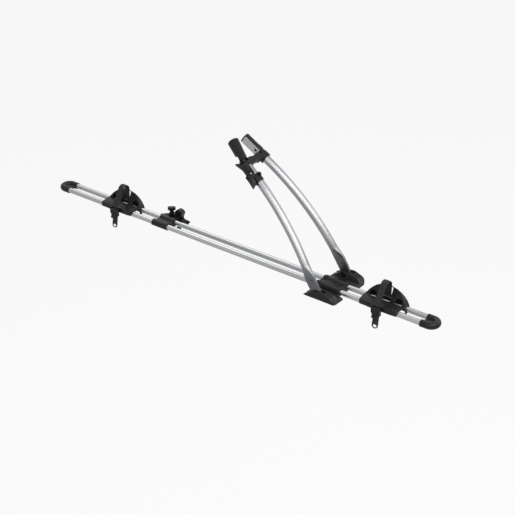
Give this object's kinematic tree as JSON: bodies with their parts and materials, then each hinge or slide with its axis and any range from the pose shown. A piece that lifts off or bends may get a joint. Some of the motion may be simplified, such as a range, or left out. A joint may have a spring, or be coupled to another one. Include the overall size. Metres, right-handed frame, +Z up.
{
  "type": "roof mounted bike carrier",
  "caption": "Roof mounted bike carrier: twin tube rail with wheel trays and straps, folding bowed arms with a clamp head for the frame tube, and feet for roof bars.",
  "frame": {"origin": "on the main foot's roof bar seat, straight below the arm pivot and midway between the rail tubes", "axes": "+X along the rail to the rear of the bicycle, +Z up, +Y to the side of the front bar clamp"},
  "size_m": [1.49, 0.176, 0.449],
  "materials": {
    "black_plastic": "fine moulded texture",
    "dark_plastic": "smooth moulded",
    "silver_alloy": "satin drawn tube",
    "steel": "zinc plated",
    "grey_rubber": "matt",
    "black_rubber": "ribbed strap"
  },
  "bodies": {
    "rail": {"rail_tube_near": "silver_alloy", "rail_tube_far": "silver_alloy", "front_end_cap": "black_plastic", "rear_end_cap": "black_plastic", "foot_saddle": "black_plastic", "foot_seat_plate": "dark_plastic", "foot_screws": "steel", "near_pivot_housing": "black_plastic", "far_pivot_housing": "black_plastic", "pivot_bolts": "steel", "pivot_nuts": "steel"},
    "arms": {"arm_near": "silver_alloy", "arm_far": "silver_alloy", "arm_rivets": "steel", "far_jaw": "black_plastic", "far_jaw_pad": "grey_rubber", "head_bridge": "black_plastic", "bridge_screws": "steel", "jaw_pin": "steel", "lever_collar": "black_plastic", "lever_pin": "steel"},
    "swing_jaw": {"near_jaw": "black_plastic", "near_jaw_pad": "grey_rubber"},
    "lever": {"clamp_lever": "black_plastic"},
    "button": {"release_button": "dark_plastic"},
    "rear_wheel_tray": {"rear_tray": "black_plastic", "rear_tray_clip": "dark_plastic", "rear_tray_screws": "steel", "rear_strap": "black_rubber", "rear_strap_pin": "steel", "rear_buckle": "black_plastic", "rear_buckle_pin": "steel"},
    "rear_latch": {"rear_buckle_lever": "black_plastic"},
    "front_wheel_tray": {"front_tray": "black_plastic", "front_tray_clip": "dark_plastic", "front_tray_screws": "steel", "front_strap": "black_rubber", "front_strap_pin": "steel", "front_buckle": "black_plastic", "front_buckle_pin": "steel"},
    "front_latch": {"front_buckle_lever": "black_plastic"},
    "front_foot": {"front_foot_clip": "black_plastic", "front_foot_plate": "black_plastic", "front_foot_screws": "steel", "clamp_housing": "black_plastic", "hook_pins": "steel", "spreader_block": "steel"},
    "front_hook": {"hook_front": "black_plastic"},
    "rear_hook": {"hook_rear": "black_plastic"},
    "knob": {"clamp_bolt": "steel", "wing_knob": "black_plastic"}
  },
  "joints": [
    {"name": "arm_fold", "type": "hinge", "parent": "rail", "child": "arms", "pos_m": [0, 0, 0.022], "axis": [0, -1, 0], "range_deg": [-20, 42]},
    {"name": "lever_open", "type": "hinge", "parent": "arms", "child": "lever", "pos_m": [-0.26116, -0.06308, 0.318], "axis": [0.5803, -0.0197, 0.8142], "range_deg": [0, 70]},
    {"name": "jaw_open", "type": "hinge", "parent": "arms", "child": "swing_jaw", "pos_m": [-0.29872, -0.04827, 0.34477], "axis": [0.6022, 0.0129, 0.7982], "range_deg": [0, 35]},
    {"name": "button_press", "type": "slide", "parent": "arms", "child": "button", "axis": [-0.5956, -0.0136, -0.8032], "range_m": [0, 0.003], "stiffness_N_per_m": 300},
    {"name": "rear_tray_slide", "type": "slide", "parent": "rail", "child": "rear_wheel_tray", "axis": [1, 0, 0], "range_m": [-0.03, 0.055]},
    {"name": "rear_latch_open", "type": "hinge", "parent": "rear_wheel_tray", "child": "rear_latch", "pos_m": [0.182, -0.0415, 0.017], "axis": [-1, 0, 0], "range_deg": [0, 35], "stiffness_Nm_per_rad": 0.05},
    {"name": "front_tray_slide", "type": "slide", "parent": "rail", "child": "front_wheel_tray", "axis": [1, 0, 0], "range_m": [-0.12, 0.04]},
    {"name": "front_latch_open", "type": "hinge", "parent": "front_wheel_tray", "child": "front_latch", "pos_m": [-0.842, -0.0415, 0.017], "axis": [-1, 0, 0], "range_deg": [0, 35], "stiffness_Nm_per_rad": 0.05},
    {"name": "front_foot_slide", "type": "slide", "parent": "rail", "child": "front_foot", "axis": [1, 0, 0], "range_m": [-0.01, 0.05]},
    {"name": "knob_turn", "type": "hinge", "parent": "front_foot", "child": "knob", "pos_m": [-0.666, 0.045, 0.032], "axis": [0, 0, 1], "range_deg": [0, 720]},
    {"name": "front_hook_open", "type": "hinge", "parent": "front_foot", "child": "front_hook", "pos_m": [-0.684, 0.045, 0.007], "axis": [0, 1, 0], "range_deg": [0, 15]},
    {"name": "rear_hook_open", "type": "hinge", "parent": "front_foot", "child": "rear_hook", "pos_m": [-0.632, 0.045, 0.007], "axis": [0, -1, 0], "range_deg": [0, 15]}
  ],
  "couplings": [
    {"joint": "jaw_open", "follows": "lever_open", "ratio": 0.5},
    {"joint": "front_hook_open", "follows": "knob_turn", "ratio": 0.020833},
    {"joint": "rear_hook_open", "follows": "knob_turn", "ratio": 0.020833}
  ]
}
